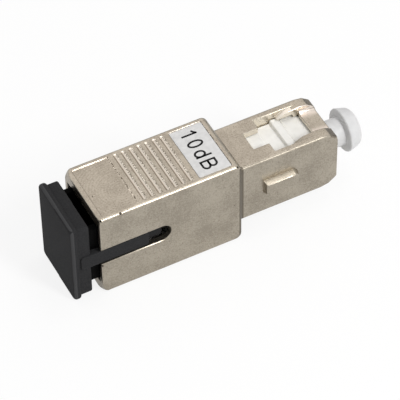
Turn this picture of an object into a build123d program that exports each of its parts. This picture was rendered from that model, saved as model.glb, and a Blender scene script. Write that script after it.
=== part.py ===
"""Plug-type fixed fibre attenuator with a socket at one end and a square plug at the other.

Millimetres. +X runs along the optical axis towards the plug nose.
+Z is the labelled side and -Y the keyed side.
The origin is on the optical axis, in the plane of the shoulder where the nose leaves the body.
"""

import os

from build123d import *

# Socket body, the thick half of the casting
body_length = 18.7
body_width = 9.4
body_height = 12.8
body_corner_radius = 0.9  # at the shoulder
body_edge_radius = 0.4
mouth_edge_bevel = 0.12
body_web = 2.3  # thickness of metal left between the socket and the nose

# Socket, where the mating plug goes
socket_width = 7.5
socket_height = 9.1
keyway_width = 2.4
keyway_length = 9.2
keyway_edge = 0.12
mouth_chamfer = 0.3
bevel_draft = 45  # degrees, the slope of an even bevel
optical_depth = 12.7  # mouth of the socket to the plane where the two ferrules meet

# Nose, the thin half of the casting
nose_length = 13.5
nose_width = 7.36
nose_height = 8.96
nose_edge_radius = 0.36
nose_slope_length = 1.1  # first, gentle facet of the lead-in
nose_slope_drop = 0.2
nose_bevel_length = 1.0  # second, steep facet at the tip
nose_bevel_drop = 0.73
nose_cavity_width = 5.6
nose_cavity_height = 7.1
root_land_length = 1.3  # raised land beside the shoulder
root_land_height = 0.06
root_cove_radius = 0.6  # between the shoulder and the sides of the nose

# Key on the side of the nose
key_setback = 5.4  # nose tip to the rounded end of the key
key_length = 4.75
key_width = 2.0
key_height = 0.75
key_draft = 16
key_end_radius = 0.75
key_edge_bevel = 0.12

# Release windows in the top and bottom of the nose, measured back from the tip
channel_width = 4.2
channel_length = 2.28
channel_floor_back = 3.6
channel_floor_tip = 3.3
channel_cove_radius = 0.6
latch_window_length = 2.87
guide_window_length = 2.95
sight_slot_length = 2.1
sight_slot_width = 2.74
release_ramp_foot = 3.72
release_ramp_length = 1.25  # steep part, up to the crest
release_ramp_crest = 4.3

# Shallow recesses and finger grooves in the top and bottom of the body
recess_depth = 0.15
recess_side_border = 0.65
panel_border = 0.65  # mouth of the socket to the plain panel
panel_length = 4.7
label_border = 1.0  # shoulder to the label recess
label_recess_length = 4.35
label_thickness = 0.08
label_gap = 0.05
groove_pitch = 1.02
groove_width = 0.52
groove_depth = 0.2
groove_draft = 35
groove_corner = 0.16
groove_margin = 0.9  # panel or label recess to the middle of the nearest groove

# Sliding and seating clearances
slide_clearance = 0.05
press_clearance = 0.02
stop_gap = 0.1
coupling_travel = 1.6  # how far the casting draws back over the plug frame

# Plug frame, the white moulding that shows in the windows
frame_protrusion = 0.13
frame_side_wall = 0.35
neck_height = 5.9  # the frame is this much thinner from the ridges to its tip
front_bore_radius = 2.4
front_bore_depth = 6.7
stop_wall = 1.0
hook_pocket_depth = 0.55
latch_ridge_back = 5.9  # nose tip to the latching face of the ridge
latch_ridge_top = 1.0
latch_ridge_slope = 0.25
latch_ridge_height = 0.5

# Sleeve holder with the two latch hooks of the socket
flange_thickness = 1.6
holder_tube_radius = 2.3
holder_lip = 0.4
hook_thickness = 0.65
hook_width = 3.4
hook_wall_gap = 0.25
hook_nose_depth = 0.6
hook_nose_length = 1.3
hook_nose_flat = 0.4
lug_length = 1.0
lug_width = 2.4
lug_height = 0.35
snap_length = 0.8
snap_width = 1.8
snap_inset = 0.6

# Zirconia ferrule, its collar, the fibre in it and the split sleeve round its inner end
ferrule_radius = 1.2495
ferrule_protrusion = 0.8
ferrule_chamfer = 0.35
fibre_radius = 0.0625
fibre_gap = 0.0025
sleeve_length = 11.4
sleeve_fit = 0.02
sleeve_wall = 0.35
sleeve_slit = 0.5
sleeve_float = 0.04
collar_clearance = 0.2
collar_disc = 1.2
collar_hub = 1.3
collar_hub_radius = 1.65
collar_notch_width = 0.8
collar_notch_depth = 0.5
ring_thickness = 0.6
ferrule_passage = 0.2
ferrule_float = 0.9  # how far a mating plug pushes the ferrule back
spring_wire = 0.45
spring_wire_sides = 6
spring_hub_gap = 0.12
spring_turns = 4

# Ferrule cap, the white cover on the tip
cap_stem_radius = 1.8
cap_head_radius = 2.82  # widest at the back of the head
cap_rim_radius = 2.42
cap_face_radius = 2.05
cap_stem_reach = 2.5  # nose tip to the back of the head
cap_head_length = 1.9
cap_head_bevel = 0.35
cap_back_bevel = 0.15
cap_fit = 0.04
cap_end_gap = 0.3
cap_root_gap = 0.15  # left behind the cap when the ferrule is pushed right back

# Dust plug in the socket
plug_plate_width = 8.9
plug_plate_height = 12.4
plug_plate_thickness = 0.95
plug_plate_bevel = 0.25
plug_plate_corner = 0.6
plug_block_width = 8.5
plug_block_height = 11.5
plug_block_thickness = 1.5
plug_block_corner = 0.45
plug_stand_off = 1.15  # block to the mouth of the socket
plug_cheek_depth = 3.9  # how far the two cheeks reach into the socket
plug_cheek_thickness = 0.85
plug_side_clearance = 0.1
plug_height_clearance = 0.15
plug_tongue_reach = 6.4
plug_tongue_recess = 0.25
plug_tongue_gap = 0.15
plug_rib_reach = 8.4
plug_tip_radius = 0.4
plug_cheek_chamfer = 0.3

# Stations along the optical axis
mouth_x = -body_length
optical_x = mouth_x + optical_depth
ferrule_tip_x = nose_length + ferrule_protrusion
flange_front_x = -body_web - coupling_travel - stop_gap
flange_back_x = flange_front_x - flange_thickness
frame_front_x = nose_length + frame_protrusion
stop_front_x = frame_front_x - front_bore_depth
stop_back_x = stop_front_x - stop_wall
channel_back_x = nose_length - channel_length
latch_window_back_x = channel_back_x - latch_window_length
guide_window_back_x = latch_window_back_x - guide_window_length
sight_slot_back_x = guide_window_back_x - sight_slot_length
ridge_back_x = nose_length - latch_ridge_back
ridge_front_x = ridge_back_x + latch_ridge_top + latch_ridge_slope
sleeve_back_x = optical_x - sleeve_length / 2
sleeve_front_x = optical_x + sleeve_length / 2
holder_front_x = sleeve_front_x + stop_gap
holder_back_x = sleeve_back_x - stop_gap - holder_lip
ring_front_x = holder_front_x + ring_thickness
collar_back_x = stop_back_x - collar_disc
latch_face_x = optical_x - (ferrule_tip_x - ridge_back_x)
nose_slope_x = nose_length - nose_bevel_length - nose_slope_length

# Shared sections
frame_width = nose_cavity_width - 2 * slide_clearance
frame_height = nose_cavity_height - 2 * slide_clearance
chamber_radius = frame_width / 2 - frame_side_wall
sleeve_inner_radius = ferrule_radius + sleeve_fit
sleeve_outer_radius = sleeve_inner_radius + sleeve_wall
collar_radius = chamber_radius - collar_clearance
passage_radius = ferrule_radius + ferrule_passage
spring_radius = collar_hub_radius + spring_hub_gap + spring_wire / 2
plug_drop = plug_height_clearance - press_clearance  # the dust plug lies on the floor of the socket
plug_block_x = mouth_x - plug_stand_off
plug_plate_x = plug_block_x - plug_block_thickness


def place_recess(border, length):
    """Middle of a recess that starts at this border from the mouth, as a sketch location."""
    return Location((mouth_x + border + length / 2, 0))


# Nose casting form: a block whose tip falls away in two facets, top and bottom
nose_root = body_web / 2
with BuildPart() as nose_form:
    with BuildSketch(Plane.XZ):
        with BuildLine():
            Polyline(
                (-nose_root, 0),
                (-nose_root, nose_height / 2),
                (nose_slope_x, nose_height / 2),
                (nose_length - nose_bevel_length, nose_height / 2 - nose_slope_drop),
                (nose_length, nose_height / 2 - nose_slope_drop - nose_bevel_drop),
                (nose_length, 0),
            )
            mirror(about=Plane.XZ)
        make_face()
    extrude(amount=nose_width / 2, both=True)
    nose_rims = nose_form.faces().filter_by(Axis.Y).edges()
    fillet(nose_rims.filter_by(Axis.Z, reverse=True), radius=nose_edge_radius)

# Key casting form: a drafted ridge with a rounded leading end
with BuildPart() as key_form:
    with BuildSketch(Plane.XZ.offset(nose_width / 2)) as key_outline:
        with Locations((nose_length - key_setback - key_length / 2, 0)):
            Rectangle(key_length, key_width)
        fillet(key_outline.vertices().group_by(Axis.X)[-1], radius=key_end_radius)
    extrude(amount=key_height, taper=key_draft)
    chamfer(key_form.faces().sort_by(Axis.Y)[0].edges(), length=key_edge_bevel)

# Hook channel cutting form: its floor falls towards the tip and is coved along both sides
with BuildPart() as channel_form:
    with BuildSketch(Plane.XZ):
        with BuildLine():
            Polyline(
                (channel_back_x, channel_floor_back),
                (nose_length, channel_floor_tip),
                (nose_length, nose_height / 2),
                (channel_back_x, nose_height / 2),
                close=True,
            )
        make_face()
    extrude(amount=channel_width / 2, both=True)
    floor_sides = channel_form.faces().sort_by(Axis.Z)[0].edges().group_by(Axis.Y)
    fillet(floor_sides[0] + floor_sides[-1], radius=channel_cove_radius)
    mirror(about=Plane.XY)

# Housing: the die-cast body and nose in one piece
with BuildPart() as housing:
    with BuildSketch(Plane.XZ) as body_outline:
        with Locations((-body_length / 2, 0)):
            Rectangle(body_length, body_height)
        fillet(body_outline.vertices().group_by(Axis.X)[-1], radius=body_corner_radius)
    extrude(amount=body_width / 2, both=True)
    side_rims = housing.faces().filter_by(Axis.Y).edges()
    fillet(side_rims - side_rims.group_by(Axis.X)[0], radius=body_edge_radius)
    chamfer(housing.faces().sort_by(Axis.X)[0].edges(), length=mouth_edge_bevel)
    add(nose_form.part)
    add(key_form.part)
    with BuildSketch(Plane.XY):
        with Locations((root_land_length / 2, 0)):
            Rectangle(root_land_length, nose_width - 2 * nose_edge_radius)
    extrude(amount=nose_height / 2 + root_land_height, both=True)
    for side in (1, -1):
        with BuildSketch(Plane.XY):
            with Locations((root_cove_radius / 2, side * (nose_width + root_cove_radius) / 2)):
                Rectangle(root_cove_radius, root_cove_radius)
            with Locations((root_cove_radius, side * (nose_width / 2 + root_cove_radius))):
                Circle(root_cove_radius, mode=Mode.SUBTRACT)
        extrude(amount=nose_height / 2 - nose_edge_radius, both=True)

    # socket and the passage through the nose
    with BuildSketch(Plane.YZ.offset(mouth_x)):
        Rectangle(socket_width, socket_height)
    extrude(amount=body_length - body_web, mode=Mode.SUBTRACT)
    with BuildSketch(Plane.YZ.offset(mouth_x)):
        Rectangle(socket_width + 2 * mouth_chamfer, socket_height + 2 * mouth_chamfer)
    extrude(amount=mouth_chamfer, taper=bevel_draft, mode=Mode.SUBTRACT)
    passage_end_x = ridge_front_x + coupling_travel + stop_gap
    with BuildSketch(Plane.YZ.offset(-body_web)):
        Rectangle(nose_cavity_width, nose_cavity_height)
    extrude(amount=body_web + passage_end_x, mode=Mode.SUBTRACT)
    with BuildSketch(Plane.YZ.offset(passage_end_x)):
        Rectangle(nose_cavity_width, neck_height + 2 * slide_clearance)
    extrude(amount=nose_length - passage_end_x, mode=Mode.SUBTRACT)

    # keyway, open at the mouth and round at its blind end, with a small bevel along its outer edge
    keyway_run = keyway_length - keyway_width / 2
    for edge, depth, draft in ((0, body_width / 2, 0), (keyway_edge, keyway_edge, bevel_draft)):
        with BuildSketch(Plane.XZ.offset(body_width / 2)):
            with Locations((mouth_x + keyway_run / 2, 0)):
                Rectangle(keyway_run, keyway_width + 2 * edge)
            with Locations((mouth_x + keyway_run, 0)):
                Circle(keyway_width / 2 + edge)
        extrude(amount=-depth, taper=draft, mode=Mode.SUBTRACT)

    # windows through the top and bottom of the nose
    with BuildSketch(Plane.XY):
        with Locations((channel_back_x - latch_window_length / 2, 0)):
            Rectangle(latch_window_length, channel_width)
        with Locations((latch_window_back_x - guide_window_length / 2, 0)):
            Rectangle(guide_window_length, nose_cavity_width)
        with Locations((guide_window_back_x - sight_slot_length / 2, 0)):
            Rectangle(sight_slot_length, sight_slot_width)
    extrude(amount=nose_height / 2, both=True, mode=Mode.SUBTRACT)

    # ramps that lift the adapter's hooks, and the hook channel at the tip
    with BuildSketch(Plane.XZ):
        with BuildLine():
            Polyline(
                (latch_window_back_x, release_ramp_foot),
                (latch_window_back_x + release_ramp_length, release_ramp_crest),
                (nose_slope_x, nose_height / 2),
                (latch_window_back_x, nose_height / 2),
                close=True,
            )
        make_face()
        mirror(about=Plane.XZ)
    extrude(amount=nose_cavity_width / 2, both=True, mode=Mode.SUBTRACT)
    add(channel_form.part, mode=Mode.SUBTRACT)

    # pockets that the sleeve holder's side lugs snap into and slide along
    pocket_length = lug_length + coupling_travel + 2 * stop_gap
    with BuildSketch(Plane.XZ):
        with Locations((flange_back_x - stop_gap + pocket_length / 2, 0)):
            Rectangle(pocket_length, lug_width + 2 * slide_clearance)
    extrude(amount=socket_width / 2 + lug_height + slide_clearance, both=True, mode=Mode.SUBTRACT)

    # panel and label recesses, and the finger grooves between them
    recess_width = body_width - 2 * recess_side_border
    label_recess_border = body_length - label_border - label_recess_length
    grooves_start = panel_border + panel_length + groove_margin
    grooves_room = label_recess_border - groove_margin - grooves_start
    groove_count = int(grooves_room / groove_pitch) + 1
    grooves_middle_x = mouth_x + grooves_start + grooves_room / 2
    for side in (1, -1):
        face_plane = Plane.XY.offset(side * body_height / 2)
        with BuildSketch(face_plane):
            with Locations(place_recess(panel_border, panel_length)):
                Rectangle(panel_length, recess_width)
        extrude(amount=-side * recess_depth, mode=Mode.SUBTRACT)
        with BuildSketch(face_plane) as groove_outlines:
            with Locations((grooves_middle_x, 0)):
                with GridLocations(groove_pitch, 0, groove_count, 1):
                    Rectangle(groove_width, recess_width)
            chamfer(groove_outlines.vertices(), length=groove_corner)
        extrude(amount=-side * groove_depth, taper=groove_draft, mode=Mode.SUBTRACT)
    with BuildSketch(Plane.XY.offset(body_height / 2)):
        with Locations(place_recess(label_recess_border, label_recess_length)):
            Rectangle(label_recess_length, recess_width)
    extrude(amount=-recess_depth, mode=Mode.SUBTRACT)
housing.part.label = "housing"

# Label: a thin silver plate stuck in its recess
with BuildPart() as label:
    with BuildSketch(Plane.XY.offset(body_height / 2 - recess_depth)):
        with Locations(place_recess(label_recess_border, label_recess_length)):
            Rectangle(label_recess_length - 2 * label_gap, recess_width - 2 * label_gap)
    extrude(amount=label_thickness)
label.part.label = "label"

# Plug frame: the white moulding that carries the ferrule in the nose
with BuildPart() as plug_frame:
    pocket_floor = frame_height / 2 - hook_pocket_depth
    with BuildSketch(Plane.XZ):
        with BuildLine():
            Polyline(
                (flange_front_x, 0),
                (flange_front_x, frame_height / 2),
                (guide_window_back_x, frame_height / 2),
                (guide_window_back_x, pocket_floor),
                (ridge_back_x, pocket_floor),
                (ridge_back_x, neck_height / 2 + latch_ridge_height),
                (ridge_back_x + latch_ridge_top, neck_height / 2 + latch_ridge_height),
                (ridge_front_x, neck_height / 2),
                (frame_front_x, neck_height / 2),
                (frame_front_x, 0),
                close=True,
            )
        make_face()
        mirror(about=Plane.XZ)
    extrude(amount=frame_width / 2, both=True)

    # spring chamber, ferrule passage and front bore
    with BuildSketch(Plane.YZ.offset(flange_front_x)):
        Circle(chamber_radius)
    extrude(amount=stop_back_x - flange_front_x, mode=Mode.SUBTRACT)
    with BuildSketch(Plane.YZ.offset(stop_back_x)):
        Circle(passage_radius)
    extrude(amount=stop_wall, mode=Mode.SUBTRACT)
    with BuildSketch(Plane.YZ.offset(stop_front_x)):
        Circle(front_bore_radius)
    extrude(amount=front_bore_depth, mode=Mode.SUBTRACT)

    # windows for the holder's snaps, and keys that stop the collar turning
    snap_back_x = flange_front_x + snap_inset
    with BuildSketch(Plane.XY):
        with Locations((snap_back_x + snap_length / 2, 0)):
            Rectangle(snap_length + 2 * slide_clearance, snap_width + 2 * slide_clearance)
    extrude(amount=frame_height / 2, both=True, mode=Mode.SUBTRACT)
    key_inner = collar_radius - collar_notch_depth + slide_clearance
    key_outer = chamber_radius + frame_side_wall / 2
    for side in (1, -1):
        with BuildSketch(Plane.YZ.offset(stop_back_x)):
            with Locations((0, side * (key_inner + key_outer) / 2)):
                Rectangle(collar_notch_width - 2 * slide_clearance, key_outer - key_inner)
        extrude(amount=-(collar_disc - stop_gap))
plug_frame.part.label = "plug_frame"

# Sleeve holder: flange, sleeve tube, spigot and the two latch hooks of the socket
with BuildPart() as sleeve_holder:
    with BuildSketch(Plane.YZ.offset(flange_back_x)):
        Rectangle(socket_width - 2 * slide_clearance, socket_height - 2 * slide_clearance)
    extrude(amount=flange_thickness)
    with BuildSketch(Plane.YZ.offset(flange_back_x)):
        Rectangle(socket_width + 2 * lug_height, lug_width)
    extrude(amount=lug_length)
    with BuildSketch(Plane.YZ.offset(flange_back_x)):
        Circle(holder_tube_radius)
    extrude(amount=holder_back_x - flange_back_x)
    with BuildSketch(Plane.YZ.offset(flange_front_x)):
        Circle(chamber_radius - press_clearance)
    extrude(amount=holder_front_x - flange_front_x)

    # snaps that click into the plug frame
    snap_reach = (chamber_radius + frame_height / 2) / 2
    with BuildSketch(Plane.XY):
        with Locations((snap_back_x + snap_length / 2, 0)):
            Rectangle(snap_length, snap_width)
    extrude(amount=snap_reach, both=True)

    # bore for the split sleeve, with an inner lip at the socket end
    with BuildSketch(Plane.YZ.offset(holder_front_x)):
        Circle(sleeve_outer_radius + sleeve_float)
    extrude(amount=holder_back_x + holder_lip - holder_front_x, mode=Mode.SUBTRACT)
    with BuildSketch(Plane.YZ.offset(holder_back_x)):
        Circle(passage_radius)
    extrude(amount=holder_lip, mode=Mode.SUBTRACT)

    # latch hooks: flat arms with a nose that drops behind the mating plug's ridge
    hook_top = socket_height / 2 - hook_wall_gap
    hook_under = hook_top - hook_thickness
    nose_under = hook_under - hook_nose_depth
    with BuildSketch(Plane.XZ):
        with BuildLine():
            Polyline(
                (flange_back_x, hook_top),
                (latch_face_x - hook_nose_length, hook_top),
                (latch_face_x - hook_nose_length, hook_under),
                (latch_face_x - hook_nose_flat, nose_under),
                (latch_face_x, nose_under),
                (latch_face_x, hook_under),
                (flange_back_x, hook_under),
                close=True,
            )
        make_face()
        mirror(about=Plane.XZ)
    extrude(amount=hook_width / 2, both=True)
sleeve_holder.part.label = "sleeve_holder"

# Split sleeve: a zirconia C that lines up the two ferrules
with BuildPart() as split_sleeve:
    with BuildSketch(Plane.YZ.offset(sleeve_back_x)):
        Circle(sleeve_outer_radius)
        Circle(sleeve_inner_radius, mode=Mode.SUBTRACT)
        with Locations((0, -sleeve_outer_radius)):
            Rectangle(sleeve_slit, 2 * sleeve_wall + sleeve_slit, mode=Mode.SUBTRACT)
    extrude(amount=sleeve_length)
split_sleeve.part.label = "split_sleeve"

# Stop ring: closes the sleeve tube and seats the spring
with BuildPart() as stop_ring:
    with BuildSketch(Plane.YZ.offset(holder_front_x)):
        Circle(chamber_radius - press_clearance)
        Circle(passage_radius, mode=Mode.SUBTRACT)
    extrude(amount=ring_thickness)
stop_ring.part.label = "stop_ring"

# Ferrule: a long zirconia rod, chamfered at both ends, drilled for the fibre
with BuildPart() as ferrule:
    with BuildSketch(Plane.YZ.offset(optical_x)):
        Circle(ferrule_radius)
    extrude(amount=ferrule_tip_x - optical_x)
    chamfer(ferrule.edges().filter_by(GeomType.CIRCLE), length=ferrule_chamfer)
    with BuildSketch(Plane.YZ.offset(optical_x)):
        Circle(fibre_radius + fibre_gap)
    extrude(amount=ferrule_tip_x - optical_x, mode=Mode.SUBTRACT)
ferrule.part.label = "ferrule"

# Attenuating fibre: metal-doped glass, bonded in the whole length of the ferrule
with BuildPart() as attenuating_fibre:
    with BuildSketch(Plane.YZ.offset(optical_x)):
        Circle(fibre_radius)
    extrude(amount=ferrule_tip_x - optical_x)
attenuating_fibre.part.label = "attenuating_fibre"

# Ferrule collar: pressed on the ferrule, pushed against the frame's stop wall by the spring
with BuildPart() as ferrule_collar:
    with BuildSketch(Plane.YZ.offset(collar_back_x)):
        Circle(collar_radius)
        with Locations((0, collar_radius), (0, -collar_radius)):
            Rectangle(collar_notch_width, 2 * collar_notch_depth, mode=Mode.SUBTRACT)
    extrude(amount=collar_disc)
    with BuildSketch(Plane.YZ.offset(collar_back_x - collar_hub)):
        Circle(collar_hub_radius)
    extrude(amount=collar_hub)
    with BuildSketch(Plane.YZ.offset(collar_back_x - collar_hub)):
        Circle(ferrule_radius)
    extrude(amount=collar_hub + collar_disc, mode=Mode.SUBTRACT)
ferrule_collar.part.label = "ferrule_collar"

# Ferrule spring: an open coil between the stop ring and the collar, its wire drawn six-sided
spring_start_x = ring_front_x + spring_wire / 2
spring_end_x = collar_back_x - spring_wire / 2
with BuildPart() as ferrule_spring:
    spring_height = spring_end_x - spring_start_x
    with BuildLine() as spring_line:
        Helix(
            pitch=spring_height / spring_turns,
            height=spring_height,
            radius=spring_radius,
            center=(spring_start_x, 0, 0),
            direction=(1, 0, 0),
        )
    with BuildSketch(Plane(origin=spring_line.line @ 0, z_dir=spring_line.line % 0)):
        RegularPolygon(spring_wire / 2, spring_wire_sides)
    sweep(is_frenet=True)
ferrule_spring.part.label = "ferrule_spring"

# Ferrule cap: a thin cup with a broad head to pull it by
cap_back_x = stop_front_x + ferrule_float + cap_root_gap
cap_head_x = nose_length + cap_stem_reach
cap_end_x = cap_head_x + cap_head_length
with BuildPart() as ferrule_cap:
    with BuildSketch(Plane.XZ):
        with BuildLine():
            Polyline(
                (cap_back_x, 0),
                (cap_back_x, cap_stem_radius),
                (cap_head_x, cap_stem_radius),
                (cap_head_x, cap_head_radius - cap_back_bevel),
                (cap_head_x + cap_back_bevel, cap_head_radius),
                (cap_end_x - cap_head_bevel, cap_rim_radius),
                (cap_end_x, cap_face_radius),
                (cap_end_x, 0),
                close=True,
            )
        make_face()
    revolve(axis=Axis.X)
    with BuildSketch(Plane.YZ.offset(cap_back_x)):
        Circle(ferrule_radius + cap_fit)
    extrude(amount=ferrule_tip_x + cap_end_gap - cap_back_x, mode=Mode.SUBTRACT)
ferrule_cap.part.label = "ferrule_cap"

# Dust plug: finger plate, block, two cheeks in the socket and a tongue in the keyway
with BuildPart() as dust_plug:
    with BuildSketch(Plane.YZ.offset(plug_plate_x - plug_plate_thickness)):
        with Locations((0, -plug_drop)):
            RectangleRounded(plug_plate_width, plug_plate_height, plug_plate_corner)
    extrude(amount=plug_plate_thickness)
    chamfer(dust_plug.faces().filter_by(Axis.X).edges(), length=plug_plate_bevel)
    with BuildSketch(Plane.YZ.offset(plug_plate_x)):
        with Locations((0, -plug_drop)):
            RectangleRounded(plug_block_width, plug_block_height, plug_block_corner)
    extrude(amount=plug_block_thickness)

    # cheeks along the two long walls of the socket
    cheek_outer = socket_width / 2 - plug_side_clearance
    cheek_height = socket_height - 2 * plug_height_clearance
    with BuildSketch(Plane.YZ.offset(plug_block_x)):
        with Locations((0, -plug_drop)):
            Rectangle(2 * cheek_outer, cheek_height)
            Rectangle(2 * (cheek_outer - plug_cheek_thickness), cheek_height, mode=Mode.SUBTRACT)
    extrude(amount=plug_stand_off + plug_cheek_depth)
    cheek_tips = dust_plug.edges().filter_by(Axis.Z).group_by(Axis.X)[-1].sort_by(Axis.Y)
    chamfer([cheek_tips[0], cheek_tips[-1]], length=plug_cheek_chamfer)

    # tongue that fills the keyway, and the longer rib behind it
    tongue_width = keyway_width - 2 * plug_tongue_gap
    tongue_outer = body_width / 2 - plug_tongue_recess
    for reach, outer, inner in (
        (plug_tongue_reach, tongue_outer, cheek_outer),
        (plug_rib_reach, cheek_outer, cheek_outer - plug_cheek_thickness),
    ):
        tongue_length = mouth_x + reach - plug_plate_x
        with BuildSketch(Plane.XZ.offset(inner)) as tongue_profile:
            with Locations((plug_plate_x + tongue_length / 2, -plug_drop)):
                Rectangle(tongue_length, tongue_width)
            fillet(tongue_profile.vertices().group_by(Axis.X)[-1], radius=plug_tip_radius)
        extrude(amount=outer - inner)
dust_plug.part.label = "dust_plug"

os.makedirs("parts", exist_ok=True)
for piece in (
    housing,
    label,
    plug_frame,
    sleeve_holder,
    split_sleeve,
    stop_ring,
    ferrule,
    attenuating_fibre,
    ferrule_collar,
    ferrule_spring,
    ferrule_cap,
    dust_plug,
):
    export_step(piece.part, f"parts/{piece.part.label}.step")
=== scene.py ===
# Looks, lights and camera of the fibre attenuator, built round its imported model.
# Lengths in the dictionaries are millimetres, and mm turns them into Blender's metres.
import math

import bmesh
import bpy
import numpy as np
from mathutils import Euler, Matrix


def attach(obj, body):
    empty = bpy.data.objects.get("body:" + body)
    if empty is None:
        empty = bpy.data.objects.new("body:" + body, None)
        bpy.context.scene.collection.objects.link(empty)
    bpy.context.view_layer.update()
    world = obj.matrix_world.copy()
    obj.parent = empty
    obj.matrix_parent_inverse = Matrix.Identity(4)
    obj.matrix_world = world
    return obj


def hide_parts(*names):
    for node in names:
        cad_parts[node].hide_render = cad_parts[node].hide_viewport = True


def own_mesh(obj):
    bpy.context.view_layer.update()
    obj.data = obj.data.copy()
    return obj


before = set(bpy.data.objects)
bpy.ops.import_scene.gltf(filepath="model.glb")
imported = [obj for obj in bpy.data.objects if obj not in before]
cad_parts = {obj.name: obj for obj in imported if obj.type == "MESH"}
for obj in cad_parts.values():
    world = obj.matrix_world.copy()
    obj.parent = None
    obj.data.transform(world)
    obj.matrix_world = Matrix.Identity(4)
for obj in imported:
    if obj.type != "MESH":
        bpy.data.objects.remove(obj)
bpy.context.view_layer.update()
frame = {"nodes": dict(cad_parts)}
mm = 0.001
print("frame loaded:", ", ".join(frame["nodes"]))


# Turns an sRGB hex colour into the linear values that shaders take: c / 12.92 up to 0.04045,
# ((c + 0.055) / 1.055)^2.4 above it
def linearColour(hexText):
    srgb = np.array([int(hexText[i:i + 2], 16) for i in (0, 2, 4)]) / 255
    linear = np.where(srgb <= 0.04045, srgb / 12.92, ((srgb + 0.055) / 1.055) ** 2.4)
    return (*linear.tolist(), 1.0)


# Adds one node: settings are its own properties, inputs are constants or other nodes' sockets
def addNode(tree, kind, inputs=None, **settings):
    node = tree.nodes.new(kind)
    for name, value in settings.items():
        setattr(node, name, value)
    for key, value in (inputs or {}).items():
        if isinstance(value, bpy.types.NodeSocket):
            tree.links.new(value, node.inputs[key])
        else:
            node.inputs[key].default_value = value
    return node


# Gives a material or a world a node tree with nothing in it
def emptyTree(owner):
    owner.use_nodes = True
    owner.node_tree.nodes.clear()
    return owner.node_tree


# Starts a material: one shader with its constants, wired to the output, and the object's coordinates
def startMaterial(name, shaderConstants):
    material = bpy.data.materials.new(name)
    tree = emptyTree(material)
    shader = addNode(tree, "ShaderNodeBsdfPrincipled", shaderConstants)
    addNode(tree, "ShaderNodeOutputMaterial", {"Surface": shader.outputs["BSDF"]})
    return material, tree, shader, addNode(tree, "ShaderNodeTexCoord").outputs["Object"]


# 1 where a point is within the half size of any box's middle on all three axes, else 0.
# A box is (middle, half size) in millimetres.
def insideBoxes(tree, axes, boxes):
    inside = 0.0
    for middle, half in boxes:
        mask = 1.0
        for axis in range(3):
            slab = {0: axes[axis], 1: middle[axis] * mm, 2: half[axis] * mm}
            inSlab = addNode(tree, "ShaderNodeMath", slab, operation="COMPARE").outputs[0]
            both = {0: inSlab, 1: mask}
            mask = addNode(tree, "ShaderNodeMath", both, operation="MULTIPLY").outputs[0]
        either = {0: inside, 1: mask}
        inside = addNode(tree, "ShaderNodeMath", either, operation="MAXIMUM").outputs[0]
    return inside


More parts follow.
